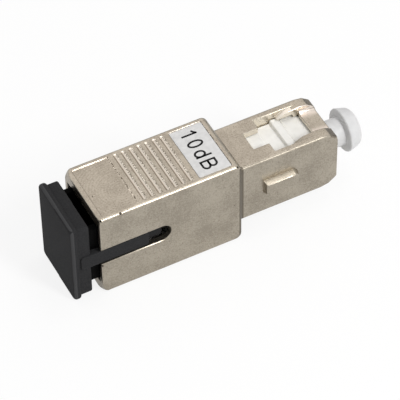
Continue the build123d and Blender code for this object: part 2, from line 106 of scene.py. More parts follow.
# Die-cast zinc under satin nickel: a warm grey metal with cast grain, soft clouds, a few pits and faint
# arcs on the plain panel. The grain is drawn as coarse as it needs to be to show.
# The areas, flank highlights, glints and rim shades are lighter or darker than that skin, in boxes placed
# and tuned to match the photo. Most of them are painted light and shade: painted highlights on the far
# walls, the far ramp and the channel's flanks, painted light on the window walls, painted glints and dark
# reflections on the walls that face the mouth, and painted shade on the groove rims, tip facets, recess
# corners and shoulder corners. So under other light they may look off.
# A box is (middle, half size), and a pit is (x, y, z, radius).
nickel = {
    "dark": "968E81",
    "light": "AEA698",
    "grainPart": 1.5,
    "toneRange": (1.0, 1.5),
    "satinRange": (0.3, 0.7),
    "pitColour": "1A1714",
    "roughness": (0.27, 0.34),
    "cloud": 3.0,
    "grain": 0.17,
    "grainHeight": 0.0032,
    "peel": 0.6,
    "peelHeight": 0.0012,
    "arcPitch": 0.36,
    "arcHeight": 0.0027,
    "arcColour": "746C60",
    "arcShare": 0.2,
    "arcMiddle": (-14.2, -1.2, 6.25),
    "panel": [((-15.7, 0, 6.25), (2.35, 4.05, 0.02))],
    # painted glints and dark reflections on the walls that face the mouth: their dull and bright tones,
    # the grain range that mixes them and the walls they lie on
    "glintColours": ("72685B", "F2E7D8"),
    "glintRange": (0.46, 0.56),
    "glintWalls": [((-13.37, 0, 6.33), (0.05, 4.1, 0.09)), ((-1.03, 0, 6.33), (0.05, 4.1, 0.09))],
    "grooves": {
        "first": -12.41,
        "pitch": 1.02,
        "count": 7,
        # painted glints on each groove's wall that faces the mouth
        "glints": ((0.19, 0, 6.31), (0.055, 4.1, 0.07)),
        # painted shade on the rim beside each groove
        "rimShades": ((-0.26, 0, 6.34), (0.055, 3.95, 0.07)),
    },
    # colour of the painted shade on the groove rims
    "rimShadeColour": "857C70",
    # painted highlight on the channel's flanks: its colour, its box and where it fades
    "flankHighlightColour": "D9CEC3",
    "flankHighlights": [((12.3, 0, 3.9), (1.05, 2.2, 0.75))],
    "flankRange": (0.7, 1.8),
    "areas": {
        # painted light on the metal walls inside the windows
        "litWindowWalls": ("D9D1C3", [((5.8, 0, 0), (2.55, 2.85, 4.42)), ((9.8, 0, 0), (1.44, 2.15, 4.42))]),
        "grooveFloors": ("C9C1B5", [((-9.35, 0, 6.2), (3.4, 4.05, 0.07))]),
        # painted highlights on the far walls of the grooves and the recesses
        "farWallHighlights": (
            "E9DFD2",
            [
                ((-9.35, 3.98, 6.3), (3.4, 0.1, 0.085)),
                ((-15.7, 4.05, 6.32), (2.4, 0.05, 0.065)),
                ((-3.2, 4.05, 6.32), (2.2, 0.05, 0.065)),
            ],
        ),
        # painted light on the far ramp
        "litFarRamp": ("E4DCCF", [((9.9, 2.45, 3.9), (1.6, 0.4, 0.48))]),
        # painted dark reflection on the steep facets at the nose's tip
        "shadedTipFacets": (
            "857D71",
            [((13.02, y, z), (0.51, 0.76, 0.385)) for y in (-2.9, 2.9) for z in (-3.89, 3.89)],
        ),
        # painted shade along the panel recess's wall at the mouth end
        "recessCornerShade": ("6A6257", [((-18.05, 0, 6.3), (0.06, 4.05, 0.09))]),
        # painted shade in the corners of the shoulder, where the nose meets the body
        "shoulderCornerShade": (
            "6E675C",
            [
                ((0.13, -4.05, 0), (0.55, 0.75, 5.9)),
                ((0.13, 4.05, 0), (0.55, 0.75, 5.9)),
                ((-0.12, 0, 5.3), (0.14, 4.4, 0.72)),
                ((-0.12, 0, -5.3), (0.14, 4.4, 0.72)),
            ],
        ),
    },
    "pitCore": 0.6,
    "pits": (
        (-15.94, -4.55, 6.3, 0.2),
        (-18.5, -4.6, 6.3, 0.2),
        (-0.55, -4.6, 6.3, 0.2),
        (-17.59, -0.64, 6.25, 0.08),
        (-1.1, -4.7, -0.04, 0.07),
        (-3.54, -4.7, 3.82, 0.07),
        (-18.6, -4.65, -1.44, 0.16),
    ),
}


# Colour: the skin's two tones by cloud + grainPart x grain, then each area laid over it in turn; most
# areas are painted light and shade.
# Relief: grain and peel all over and the arcs on the panel, each times its own height.
def nickelPlatedZinc():
    material, tree, shader, place = startMaterial("nickel_plated_zinc", {"Metallic": 1.0})
    axes = addNode(tree, "ShaderNodeSeparateXYZ", {0: place}).outputs
    cloud, grain, peel = (
        addNode(tree, "ShaderNodeTexNoise", {"Vector": place, "Scale": 1 / (nickel[size] * mm)}).outputs[0]
        for size in ("cloud", "grain", "peel")
    )

    # 1 in the core of each pit, 0 outside its radius
    pitMask = 0.0
    for *middle, radius in nickel["pits"]:
        point = tuple(value * mm for value in middle)
        ends = {0: place, 1: point}
        away = addNode(tree, "ShaderNodeVectorMath", ends, operation="DISTANCE").outputs["Value"]
        fall = {"Value": away, "From Min": nickel["pitCore"] * radius * mm, "From Max": radius * mm}
        fall.update({"To Min": 1.0, "To Max": 0.0})
        spot = addNode(tree, "ShaderNodeMapRange", fall, interpolation_type="SMOOTHSTEP").outputs[0]
        pitMask = addNode(tree, "ShaderNodeMath", {0: pitMask, 1: spot}, operation="MAXIMUM").outputs[0]

    # painted glints and dark reflections: rows of bright and dull spots on the walls that face the mouth;
    # and painted shade on a rim beside each groove: both boxes are placed from the middle line of their
    # groove
    grooves = nickel["grooves"]
    centres = (grooves["first"] + grooves["pitch"] * np.arange(grooves["count"])).tolist()
    grooveGlints, rimShades = (
        [((centre + offset, *rest), half) for centre in centres]
        for (offset, *rest), half in (grooves["glints"], grooves["rimShades"])
    )
    glintBoxes = nickel["glintWalls"] + grooveGlints
    low, high = nickel["glintRange"]
    glintShare = {"Value": grain, "From Min": low, "From Max": high}
    glints = addNode(tree, "ShaderNodeMapRange", glintShare).outputs[0]
    dull, bright = (linearColour(tone) for tone in nickel["glintColours"])
    glintMixing = {0: glints, 6: dull, 7: bright}
    glintColour = addNode(tree, "ShaderNodeMix", glintMixing, data_type="RGBA").outputs[2]

    # painted highlight on the channel's flanks, lighter at the sides and fading out towards its middle
    inner, outer = nickel["flankRange"]
    aside = addNode(tree, "ShaderNodeMath", {0: axes[1]}, operation="ABSOLUTE").outputs[0]
    fade = {"Value": aside, "From Min": inner * mm, "From Max": outer * mm}
    fade = addNode(tree, "ShaderNodeMapRange", fade, interpolation_type="SMOOTHSTEP").outputs[0]
    onFlanks = {0: fade, 1: insideBoxes(tree, axes, nickel["flankHighlights"])}
    flankHighlights = addNode(tree, "ShaderNodeMath", onFlanks, operation="MULTIPLY").outputs[0]

    # rings round a point on the panel; at scale 1 the wave texture has one every tau / 20
    waveSteps = 20
    middle = tuple(value * mm for value in nickel["arcMiddle"])
    ends = {0: place, 1: middle}
    fromMiddle = addNode(tree, "ShaderNodeVectorMath", ends, operation="SUBTRACT").outputs[0]
    rings = {"Vector": fromMiddle, "Scale": math.tau / waveSteps / (nickel["arcPitch"] * mm)}
    arcs = addNode(tree, "ShaderNodeTexWave", rings, wave_type="RINGS", rings_direction="Z").outputs["Fac"]
    onPanel = {0: arcs, 1: insideBoxes(tree, axes, nickel["panel"])}
    arcs = addNode(tree, "ShaderNodeMath", onPanel, operation="MULTIPLY").outputs[0]
    shade = {0: arcs, 1: nickel["arcShare"]}
    arcShade = addNode(tree, "ShaderNodeMath", shade, operation="MULTIPLY").outputs[0]

    # colour: the two tones, then one layer after another over them: the arcs, the areas, the painted flank
    # highlights, the painted rim shades, the painted glints and last the pits
    speckle = {0: grain, 1: nickel["grainPart"], 2: cloud}
    tone = addNode(tree, "ShaderNodeMath", speckle, operation="MULTIPLY_ADD").outputs[0]
    low, high = nickel["toneRange"]
    lightShare = {"Value": tone, "From Min": low, "From Max": high}
    share = addNode(tree, "ShaderNodeMapRange", lightShare).outputs[0]
    colour = linearColour(nickel["dark"])
    layers = [(share, nickel["light"]), (arcShade, nickel["arcColour"])]
    layers += [(insideBoxes(tree, axes, boxes), area) for area, boxes in nickel["areas"].values()]
    layers += [(flankHighlights, nickel["flankHighlightColour"]), (insideBoxes(tree, axes, rimShades), nickel["rimShadeColour"])]
    layers += [(insideBoxes(tree, axes, glintBoxes), glintColour), (pitMask, nickel["pitColour"])]
    for factor, paint in layers:
        mixing = {0: factor, 6: colour, 7: linearColour(paint) if isinstance(paint, str) else paint}
        colour = addNode(tree, "ShaderNodeMix", mixing, data_type="RGBA").outputs[2]
    tree.links.new(colour, shader.inputs["Base Color"])
    low, high = nickel["satinRange"]
    lowest, highest = nickel["roughness"]
    satin = {"Value": grain, "From Min": low, "From Max": high, "To Min": lowest, "To Max": highest}
    tree.links.new(addNode(tree, "ShaderNodeMapRange", satin).outputs[0], shader.inputs["Roughness"])

    # relief: the heights are in metres already, so the bump's distance stays 1
    height = 0.0
    for relief, amount in ((grain, "grainHeight"), (peel, "peelHeight"), (arcs, "arcHeight")):
        layer = {0: relief, 1: nickel[amount] * mm, 2: height}
        height = addNode(tree, "ShaderNodeMath", layer, operation="MULTIPLY_ADD").outputs[0]
    bump = addNode(tree, "ShaderNodeBump", {"Height": height, "Strength": 1.0, "Distance": 1.0})
    tree.links.new(bump.outputs["Normal"], shader.inputs["Normal"])
    return material


# Plain finishes: two close tones and a low relief, both from one noise. Its size and height are in
# millimetres, and the size is drawn coarser than the real grain, which is too fine to show.
finishes = {
    # moulded PBT of the inner frame and the sleeve holder: milky white, satin
    "moulded_white_pbt": {
        "tones": ("EAE9E4", "F1F0EC"),
        "size": 0.9,
        "height": 0.0008,
        "shader": {"Roughness": 0.42, "IOR": 1.57, "Specular IOR Level": 0.35},
    },
    # polyethylene cap: waxy white with a soft sheen
    "waxy_white_polyethylene": {
        "tones": ("D0D0D0", "D8D8D8"),
        "size": 1.1,
        "height": 0.001,
        "shader": {"Roughness": 0.45, "IOR": 1.51, "Specular IOR Level": 0.35},
    },
    # black polypropylene from a spark-eroded mould: matt, nearly black, with a fine leathery grain.
    # The rim highlights are paler strips along the plate's rims: painted highlight where the light falls
    # on them, tuned to the photo.
    "spark_grained_black_polypropylene": {
        "tones": ("2C2C2D", "343435"),
        # painted highlight on the plate's rims
        "rimHighlights": (
            "464647",
            [
                ((-22.1, 0, 6.1), (0.22, 4.3, 0.16)),
                ((-22.1, -4.4, -0.1), (0.22, 0.16, 6.2)),
                ((-22.1, 4.4, -0.1), (0.22, 0.16, 6.2)),
                ((-22.1, 0, -6.3), (0.22, 4.3, 0.16)),
            ],
        ),
        "size": 0.16,
        "height": 0.0025,
        "shader": {"Roughness": 0.6, "IOR": 1.49, "Specular IOR Level": 0.02},
    },
    # the plug's cheeks, one moulding with its plate: painted shade, a deeper black than the plate with
    # hardly any sheen, tuned to how dark they look in the photo's shade
    "shaded_black_polypropylene": {
        "tones": ("070707", "0A0A0A"),
        "size": 0.5,
        "height": 0.0005,
        "shader": {"Roughness": 0.6, "IOR": 1.49, "Specular IOR Level": 0.03},
    },
    # silver film of the label: even, pale, faintly mottled
    "matt_silver_film": {
        "tones": ("CDCDCC", "D8D8D7"),
        "size": 0.7,
        "height": 0.0003,
        "shader": {"Roughness": 0.42, "Metallic": 0.2},
    },
    # thermal print: dense black
    "black_thermal_print": {
        "tones": ("0A0A0A", "101010"),
        "size": 0.2,
        "height": 0.0002,
        "shader": {"Roughness": 0.5, "IOR": 1.5, "Specular IOR Level": 0.2},
    },
    # ground and polished zirconia: warm white, glassy
    "polished_zirconia": {
        "tones": ("EFECE2", "F6F4EC"),
        "size": 0.4,
        "height": 0.0003,
        "shader": {"Roughness": 0.12, "IOR": 2.1},
    },
    # turned stainless steel of the collar and the stop ring: bright grey with faint marks
    "turned_stainless_steel": {
        "tones": ("B5B3AF", "C2C0BC"),
        "size": 0.1,
        "height": 0.001,
        "shader": {"Roughness": 0.27, "Metallic": 1.0},
    },
    # drawn spring wire: bright and smooth
    "drawn_spring_wire": {
        "tones": ("ABABAB", "BDBDBD"),
        "size": 0.15,
        "height": 0.0004,
        "shader": {"Roughness": 0.2, "Metallic": 1.0},
    },
    # doped silica fibre: clear glass, a little smoky
    "doped_silica_glass": {
        "tones": ("C9CFD2", "DDE3E6"),
        "size": 0.05,
        "height": 0.0001,
        "shader": {"Roughness": 0.05, "IOR": 1.46, "Transmission Weight": 0.7},
    },
}


# Mixes the two tones by noise, lays the painted rim highlights over them and raises the surface by the
# same noise
def plainFinish(name):
    finish = finishes[name]
    noiseDetail, low, high = 3.0, 0.35, 0.65
    material, tree, shader, place = startMaterial(name, finish["shader"])
    grain = {"Vector": place, "Scale": 1 / (finish["size"] * mm), "Detail": noiseDetail}
    noise = addNode(tree, "ShaderNodeTexNoise", grain).outputs[0]
    lightShare = {"Value": noise, "From Min": low, "From Max": high}
    share = addNode(tree, "ShaderNodeMapRange", lightShare).outputs[0]
    darker, lighter = (linearColour(tone) for tone in finish["tones"])
    mixing = {0: share, 6: darker, 7: lighter}
    colour = addNode(tree, "ShaderNodeMix", mixing, data_type="RGBA").outputs[2]
    if "rimHighlights" in finish:
        highlightTone, boxes = finish["rimHighlights"]
        axes = addNode(tree, "ShaderNodeSeparateXYZ", {0: place}).outputs
        mixing = {0: insideBoxes(tree, axes, boxes), 6: colour, 7: linearColour(highlightTone)}
        colour = addNode(tree, "ShaderNodeMix", mixing, data_type="RGBA").outputs[2]
    tree.links.new(colour, shader.inputs["Base Color"])
    relief = {"Height": noise, "Strength": 1.0, "Distance": finish["height"] * mm}
    bump = addNode(tree, "ShaderNodeBump", relief)
    tree.links.new(bump.outputs["Normal"], shader.inputs["Normal"])
    return material


materials = {name: plainFinish(name) for name in finishes}
materials["nickel_plated_zinc"] = nickelPlatedZinc()
print("materials made:", len(materials))


# Puts a finished piece in the scene: it rides on a body and stands for its CAD nodes
def placePiece(piece, material, body, slot, nodes=()):
    piece.data.materials.clear()
    piece.data.materials.append(materials[material])
    bpy.context.scene.collection.objects.link(piece)
    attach(piece, body)
    if nodes:
        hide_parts(*nodes)


# Makes a smooth mesh object from points in millimetres and lists of faces; edges that turn by more
# than an angle in degrees stay sharp
def meshPiece(name, points, faces, sharpFrom=35):
    mesh = bpy.data.meshes.new(name)
    mesh.from_pydata((np.reshape(points, (-1, 3)) * mm).tolist(), [], faces)
    work = bmesh.new()
    work.from_mesh(mesh)
    bmesh.ops.recalc_face_normals(work, faces=work.faces)
    work.to_mesh(mesh)
    work.free()
    mesh.polygons.foreach_set("use_smooth", np.ones(len(mesh.polygons), bool))
    mesh.set_sharp_from_angle(angle=math.radians(sharpFrom))
    return bpy.data.objects.new(name, mesh)


# Quads between each ring of points and the next; a loop's last ring joins its first, other ends get a lid
def ringFaces(ringCount, ringSize, loop=False):
    starts = np.arange(ringCount if loop else ringCount - 1)
    row, column = np.meshgrid(starts, np.arange(ringSize), indexing="ij")
    nextRow = (row + 1) % ringCount * ringSize
    after = (column + 1) % ringSize
    row = row * ringSize
    corners = [row + column, row + after, nextRow + after, nextRow + column]
    quads = np.stack(corners, -1).reshape(-1, 4).tolist()
    lids = [list(range(ringSize)), list(range((ringCount - 1) * ringSize, ringCount * ringSize))]
    return quads if loop else quads + lids


# Arc of an ellipse: middle + (a cos t, b sin t), from one angle to another in degrees
def arcPoints(middle, a, b, fromAngle, toAngle, count):
    angle = np.radians(np.linspace(fromAngle, toAngle, count))
    return np.stack([middle[0] + a * np.cos(angle), middle[1] + b * np.sin(angle)], -1)


# Closed outline of a rounded rectangle: middle of a corner + radius (cos a, sin a), then a straight
# run to the next corner
def roundedOutline(halfWidth, halfHeight, radius, perCorner=9, perSide=60):
    angle = np.linspace(0, math.pi / 2, perCorner) + np.arange(4)[:, None] * math.pi / 2
    middleX = np.array([1, -1, -1, 1])[:, None] * (halfWidth - radius)
    middleY = np.array([1, 1, -1, -1])[:, None] * (halfHeight - radius)
    arcs = np.stack([middleX + radius * np.cos(angle), middleY + radius * np.sin(angle)], -1)
    share = np.linspace(0, 1, perSide + 2)[1:-1, None]
    runs = arcs[:, -1:, :] * (1 - share) + np.roll(arcs, -1, axis=0)[:, :1, :] * share
    return np.concatenate([arcs, runs], axis=1).reshape(-1, 2)


# Block along an axis with rounded corners and rims: rings of its outline, set in by r (1 - sin t)
# and placed r (1 - cos t) from each end, as t goes from 0 to a quarter turn
def roundedBlock(low, high, corner, rim, axis, perRim=6):
    order = [axis, (axis + 1) % 3, (axis + 2) % 3]
    low, high = np.array(low, float)[order], np.array(high, float)[order]
    turn = np.linspace(0, math.pi / 2, perRim)
    inset = rim * (1 - np.sin(turn))
    along = rim * (1 - np.cos(turn))
    stations = np.concatenate([low[0] + along, high[0] - along[::-1]])
    half, middle = 0.5 * (high[1:] - low[1:]), 0.5 * (low[1:] + high[1:])
    steps = [*inset, *inset[::-1]]
    outlines = np.array([roundedOutline(*(half - step), corner - step) for step in steps])
    rings = np.empty(outlines.shape[:2] + (3,))
    rings[..., order[0]] = stations[:, None]
    rings[..., order[1:]] = outlines + middle
    return rings.reshape(-1, 3), ringFaces(*outlines.shape[:2])


# Puts several closed forms in one mesh
def joinForms(forms):
    points, faces, first = [], [], 0
    for formPoints, formFaces in forms:
        points.append(formPoints)
        faces += [[corner + first for corner in face] for face in formFaces]
        first += len(formPoints)
    return np.concatenate(points), faces


# Revolves a profile of (x, radius) pairs round the optical axis: point = (x, r cos t, r sin t).
# A bulge is a low round mark at one place on the surface of a given radius: it rises by
# height exp(-(d / width)^4) at the distance d from its middle.
def revolve(profile, around, loop=False, bulge=None):
    surfaceGap = 0.01
    x, r = np.array(profile, float).T[:, :, None]
    turn = np.arange(around) * math.tau / around
    radius = r + 0 * turn
    if bulge:
        alongX = (x - bulge["x"]) / bulge["width"]
        alongTurn = np.angle(np.exp(1j * (turn - bulge["turn"]))) * bulge["radius"] / bulge["width"]
        onSurface = np.abs(radius - bulge["radius"]) < surfaceGap
        radius = radius + onSurface * bulge["height"] * np.exp(-((alongX ** 2 + alongTurn ** 2) ** 2))
    rings = np.stack([x + 0 * turn, radius * np.cos(turn), radius * np.sin(turn)], -1)
    return rings.reshape(-1, 3), ringFaces(len(x), around, loop)


# Sets back the corners of the mouth, which look worn in the photo: a point of its rim moves back by
# depth (1 - p / reach)^2 (1 - e / wall)^2, where p is its way along the rim from the corner and e its
# way in from the outside. Gives back the rim's edges, which have their bevel already.
def tumbleMouth(work, tumbled):
    onPlane = 1e-7
    rimX = tumbled["rimX"] * mm
    rim = [face for face in work.faces if max(corner.co.x for corner in face.verts) < rimX]
    parts = set(rim)
    for face in rim:
        parts.update(face.edges, face.verts)
    parts = list(parts)
    for axis, edge in ((1, tumbled["halfWidth"]), (2, tumbled["halfHeight"])):
        for inset in tumbled["cuts"]:
            for side in (-1, 1):
                point, normal = [0, 0, 0], [0, 0, 0]
                point[axis], normal[axis] = side * (edge - inset) * mm, 1
                plane = {"dist": onPlane, "plane_co": point, "plane_no": normal}
                parts = bmesh.ops.bisect_plane(work, geom=parts, **plane)["geom"]
    rimEdges = {edge for edge in work.edges if max(end.co.x for end in edge.verts) < rimX}
    for corner in work.verts:
        if corner.co.x > rimX:
            continue
        fromSide = tumbled["halfWidth"] - abs(corner.co.y) / mm
        fromTop = tumbled["halfHeight"] - abs(corner.co.z) / mm
        depth = tumbled["depths"][corner.co.y > 0, corner.co.z > 0]
        alongRim = max(0, 1 - abs(fromSide - fromTop) / tumbled["reach"])
        inward = max(0, 1 - min(fromSide, fromTop) / tumbled["wall"])
        corner.co.x += depth * alongRim ** 2 * inward ** 2 * mm
    return rimEdges


# Joins a CAD node's loose triangles, makes its flat faces whole and rounds its sharp edges.
# Each edge gets the radius, or a share of the narrower face beside it where that is less. Beyond the
# tip's x the tip's radius holds, the ramps have their own, and mouth and key keep the bevels they have.
def softenedCopy(node, settings):
    sharpAngle = math.radians(22)
    flatAngle = math.radians(0.6)
    mergeDistance = 0.001 * mm
    faceShare = 0.42
    tipX, tipRadius = settings.get("tip", (math.inf, settings["radius"]))
    keyX, keyY = settings.get("key", (math.inf, 0))
    rampLow, rampHigh, rampRadius = settings.get("ramps", ((math.inf,) * 3, (math.inf,) * 3, 0))
    widest = max(settings["radius"], tipRadius)
    work = bmesh.new()
    work.from_mesh(frame["nodes"][node].data)
    bmesh.ops.remove_doubles(work, verts=work.verts, dist=mergeDistance)
    bmesh.ops.dissolve_limit(work, angle_limit=flatAngle, verts=work.verts, edges=work.edges)
    weights = work.edges.layers.float.new("bevel_weight_edge")
    rimEdges = tumbleMouth(work, settings["tumbled"]) if "tumbled" in settings else set()
    for edge in work.edges:
        if edge in rimEdges or edge.calc_face_angle(0) < sharpAngle:
            continue
        start, end = (corner.co for corner in edge.verts)
        if min(start.x, end.x) > keyX * mm and max(start.y, end.y) < keyY * mm:
            edge.smooth = False
            continue
        along = (end - start).normalized()
        faces = [[corner.co - start for corner in face.verts] for face in edge.link_faces]
        room = min(max((away - away.dot(along) * along).length for away in face) for face in faces)
        radius = tipRadius if min(start.x, end.x) > tipX * mm else settings["radius"]
        ends = np.abs([start, end]) / mm
        if np.all((ends > rampLow) & (ends < rampHigh)):
            radius = rampRadius
        edge[weights] = min(radius, faceShare * room / mm) / widest
    mesh = bpy.data.meshes.new(settings["name"])
    work.to_mesh(mesh)
    work.free()
    if "custom_normal" in mesh.attributes:
        mesh.attributes.remove(mesh.attributes["custom_normal"])
    mesh.polygons.foreach_set("use_smooth", np.ones(len(mesh.polygons), bool))
    mesh.update()
    piece = bpy.data.objects.new(settings["name"], mesh)
    rounding = piece.modifiers.new("rounding", "BEVEL")
    rounding.limit_method = "WEIGHT"
    rounding.width = widest * mm
    rounding.segments = settings["segments"]
    rounding.use_clamp_overlap = False
    piece.modifiers.new("shading", "WEIGHTED_NORMAL").keep_sharp = True
    return piece


# Pieces that keep their CAD form and get only small edge roundings, in millimetres
softened = {
    "housing": {
        "name": "die_cast_shell",
        "place": ("nickel_plated_zinc", "shell", "zinc_casting"),
        "radius": 0.15,
        "segments": 3,
        "tip": (11.3, 0.13),
        "ramps": ((8.2, 2.0, 3.6), (11.6, 2.9, 4.42), 0.05),
        "key": (0.7, -3.67),
        "tumbled": {
            "rimX": -18.5,
            "halfWidth": 4.7,
            "halfHeight": 6.4,
            "cuts": (0.55, 0.7, 0.9, 1.1, 1.4),
            "reach": 1.4,
            "wall": 0.9,
            "depths": {  # by (far side, top)
                (False, False): 0.75,
                (True, False): 0.75,
                (True, True): 0.75,
                (False, True): 0.2,
            },
        },
    },
    "plug_frame": {
        "name": "inner_plug_frame",
        "place": ("moulded_white_pbt", "core", "white_pbt"),
        "radius": 0.14,
        "segments": 3,
    },
    "sleeve_holder": {
        "name": "latch_and_sleeve_holder",
        "place": ("moulded_white_pbt", "core", "white_pbt"),
        "radius": 0.08,
        "segments": 2,
    },
    "stop_ring": {
        "name": "spring_stop_ring",
        "place": ("turned_stainless_steel", "core", "stainless"),
        "radius": 0.05,
        "segments": 2,
    },
    "split_sleeve": {
        "name": "zirconia_split_sleeve",
        "place": ("polished_zirconia", "core", "zirconia"),
        "radius": 0.04,
        "segments": 2,
    },
    "ferrule_collar": {
        "name": "pressed_ferrule_collar",
        "place": ("turned_stainless_steel", "ferrule_unit", "stainless"),
        "radius": 0.06,
        "segments": 2,
    },
}
for node, settings in softened.items():
    placePiece(softenedCopy(node, settings), *settings["place"], [node])
print("softened pieces made:", len(softened))

# Dust plug: rounded plate, block, tongue and rib, and the two cheeks; its far half sits a little high.
# Each form is (lowest corner, highest corner, corner radius, rim radius, axis, whether it has the step).
dustPlug = {
    "pieces": {
        "socket_dust_plug": (
            "spark_grained_black_polypropylene",
            (
                ((-22.3, -4.45, -6.33), (-21.3, 4.45, 6.07), 0.7, 0.4, 0, True),
                ((-21.7, -4.25, -5.88), (-19.85, 4.25, 5.62), 0.5, 0.22, 0, True),
                ((-21.2, -4.45, -1.18), (-12.3, -3.3, 0.92), 0.4, 0.12, 1, False),
                ((-21.2, -3.65, -1.18), (-10.3, -2.8, 0.92), 0.4, 0.12, 1, False),
            ),
        ),
        "dust_plug_cheeks": (
            "shaded_black_polypropylene",
            (
                ((-20.4, 2.8, -4.53), (-14.8, 3.65, 4.27), 0.12, 0.1, 0, False),
                ((-20.4, -3.65, -4.53), (-14.8, -2.8, 4.27), 0.12, 0.1, 0, False),
            ),
        ),
    },
    "stepHeight": 0.1,
    "stepRun": 0.12,
}
for name, (material, pieceForms) in dustPlug["pieces"].items():
    forms = []
    for low, high, corner, rim, axis, stepped in pieceForms:
        points, faces = roundedBlock(low, high, corner, rim, axis)
        share = np.clip(points[:, 1] / dustPlug["stepRun"], 0, 1)
        points[:, 2] += stepped * dustPlug["stepHeight"] * share
        forms.append((points, faces))
    placePiece(meshPiece(name, *joinForms(forms)), material, "plug", "dark_plug", ["dust_plug"])
print("dust plug made")


# Rounds the corners of an outline: from a given length before each corner to the same length after it
# runs a parabola, (1 - s)^2 before + 2 s (1 - s) corner + s^2 after, tangent to both sides
def roundedPath(corners, reaches, perCorner=7):
    samePoint = 1e-6
    corners = np.array(corners, float)
    reach = np.array(reaches, float)[:, None]
    steps = np.diff(corners, axis=0)
    steps /= np.linalg.norm(steps, axis=1, keepdims=True)
    before = corners - reach * np.vstack([steps[:1], steps])
    after = corners + reach * np.vstack([steps, steps[-1:]])
    s = np.linspace(0, 1, perCorner)[None, :, None]
    path = (1 - s) ** 2 * before[:, None] + 2 * s * (1 - s) * corners[:, None] + s ** 2 * after[:, None]
    path[reach[:, 0] == 0] = corners[reach[:, 0] == 0][:, None]
    path = path.reshape(-1, 2)
    return path[np.append(True, np.linalg.norm(np.diff(path, axis=0), axis=1) > samePoint)]


# Ferrule cap: a thin cup with a broad tapered head and a small nub on the stem. Each corner of its
# outline is (x, radius, length of the rounding on each side), and the stem's points run in
# (from x, to x, count).
cap = {
    "front": ((17.9, 1.4, 0), (17.9, 2.05, 0.2), (17.55, 2.42, 0.2)),
    "back": ((16.15, 2.82, 0.1), (16.0, 2.67, 0.08), (16.0, 1.8, 0.14)),
    "stem": ((15.8, 14.9, 40), (14.6, 8.3, 6)),
    "stemRadius": 1.8,
    "mouth": ((7.98, 1.8, 0.12), (7.98, 1.2895, 0.05), (14.6, 1.2895, 0)),
    "around": 144,
    "nub": {"x": 15.35, "turn": -2.4, "width": 0.14, "height": 0.12, "radius": 1.8},
}
stemRun = np.concatenate([np.linspace(*run) for run in cap["stem"]])
stemCorners = np.stack([stemRun, np.full(len(stemRun), cap["stemRadius"]), 0 * stemRun], -1)
capCorners = np.vstack([cap["front"], cap["back"], stemCorners, cap["mouth"]])
capProfile = roundedPath(capCorners[:, :2], capCorners[:, 2])
capPiece = meshPiece("ferrule_dust_cap", *revolve(capProfile, cap["around"], bulge=cap["nub"]))
placePiece(capPiece, "waxy_white_polyethylene", "cap", "white_pe", ["ferrule_cap"])

# Ferrule: a long ceramic rod with chamfered ends, a bore for the fibre and faintly domed faces, which
# fall back by dome (r / rim radius)^2 at the radius r
ferrule = {
    "start": -6.0,
    "end": 14.3,
    "radius": 1.2495,
    "chamfer": 0.35,
    "bore": 0.065,
    "dome": 0.02,
    "perFace": 8,
    "around": 96,
}
rise = np.linspace(ferrule["bore"], ferrule["radius"] - ferrule["chamfer"], ferrule["perFace"])
drop = ferrule["dome"] * (rise / rise[-1]) ** 2
tip = np.stack([ferrule["end"] - drop, rise], -1)
foot = np.stack([ferrule["start"] + drop, rise], -1)[::-1]
rodEnds = np.array([ferrule["end"] - ferrule["chamfer"], ferrule["start"] + ferrule["chamfer"]])
rod = np.stack([rodEnds, np.full(2, ferrule["radius"])], -1)
rodOutline = np.concatenate([tip, rod, foot])
ferrulePiece = meshPiece("zirconia_ferrule", *revolve(rodOutline, ferrule["around"], loop=True))
placePiece(ferrulePiece, "polished_zirconia", "ferrule_unit", "zirconia", ["ferrule"])
print("cap and ferrule made")

# Ferrule spring: round wire wound at r round the axis, with one closed turn at each end.
# Its line is (x(t), r cos a, r sin a), and the wire's section turns round that line.
spring = {
    "start": 0.4,
    "end": 4.73,
    "coilRadius": 1.965,
    "wire": 0.42,
    "turns": 6,
    "perTurn": 48,
    "around": 14,
}
share = np.linspace(0, 1, spring["turns"] * spring["perTurn"] + 1)
turn = share * math.tau * spring["turns"]
wire = 0.5 * spring["wire"]
firstX, lastX = spring["start"] + wire, spring["end"] - wire
closed = 1 / spring["turns"]
x = np.interp(share, [0, closed, 1 - closed, 1], [firstX, firstX + 2 * wire, lastX - 2 * wire, lastX])
line = np.stack([x, spring["coilRadius"] * np.cos(turn), spring["coilRadius"] * np.sin(turn)], -1)
along = np.gradient(line, axis=0)
along /= np.linalg.norm(along, axis=1, keepdims=True)
outward = np.stack([np.zeros_like(turn), np.cos(turn), np.sin(turn)], -1)
across = np.cross(along, outward)
section = np.arange(spring["around"]) * math.tau / spring["around"]
rings = line[:, None] + wire * (
    np.cos(section)[None, :, None] * outward[:, None] + np.sin(section)[None, :, None] * across[:, None]
)
rings[..., 0] = np.clip(rings[..., 0], spring["start"], spring["end"])
springPiece = meshPiece("ferrule_coil_spring", rings, ringFaces(len(line), spring["around"]))
placePiece(springPiece, "drawn_spring_wire", "ferrule_unit", "spring_steel", ["ferrule_spring"])
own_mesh(springPiece)
print("spring made")

# Label: a thin silver plate with rounded corners
label = {"low": (-5.3, -4.0, 6.25), "high": (-1.05, 4.0, 6.33), "corner": 0.2, "rim": 0.03}
labelForm = roundedBlock(label["low"], label["high"], label["corner"], label["rim"], axis=2)
labelPiece = meshPiece("rating_label", *labelForm)
placePiece(labelPiece, "matt_silver_film", "shell", "silver_label", ["label"])

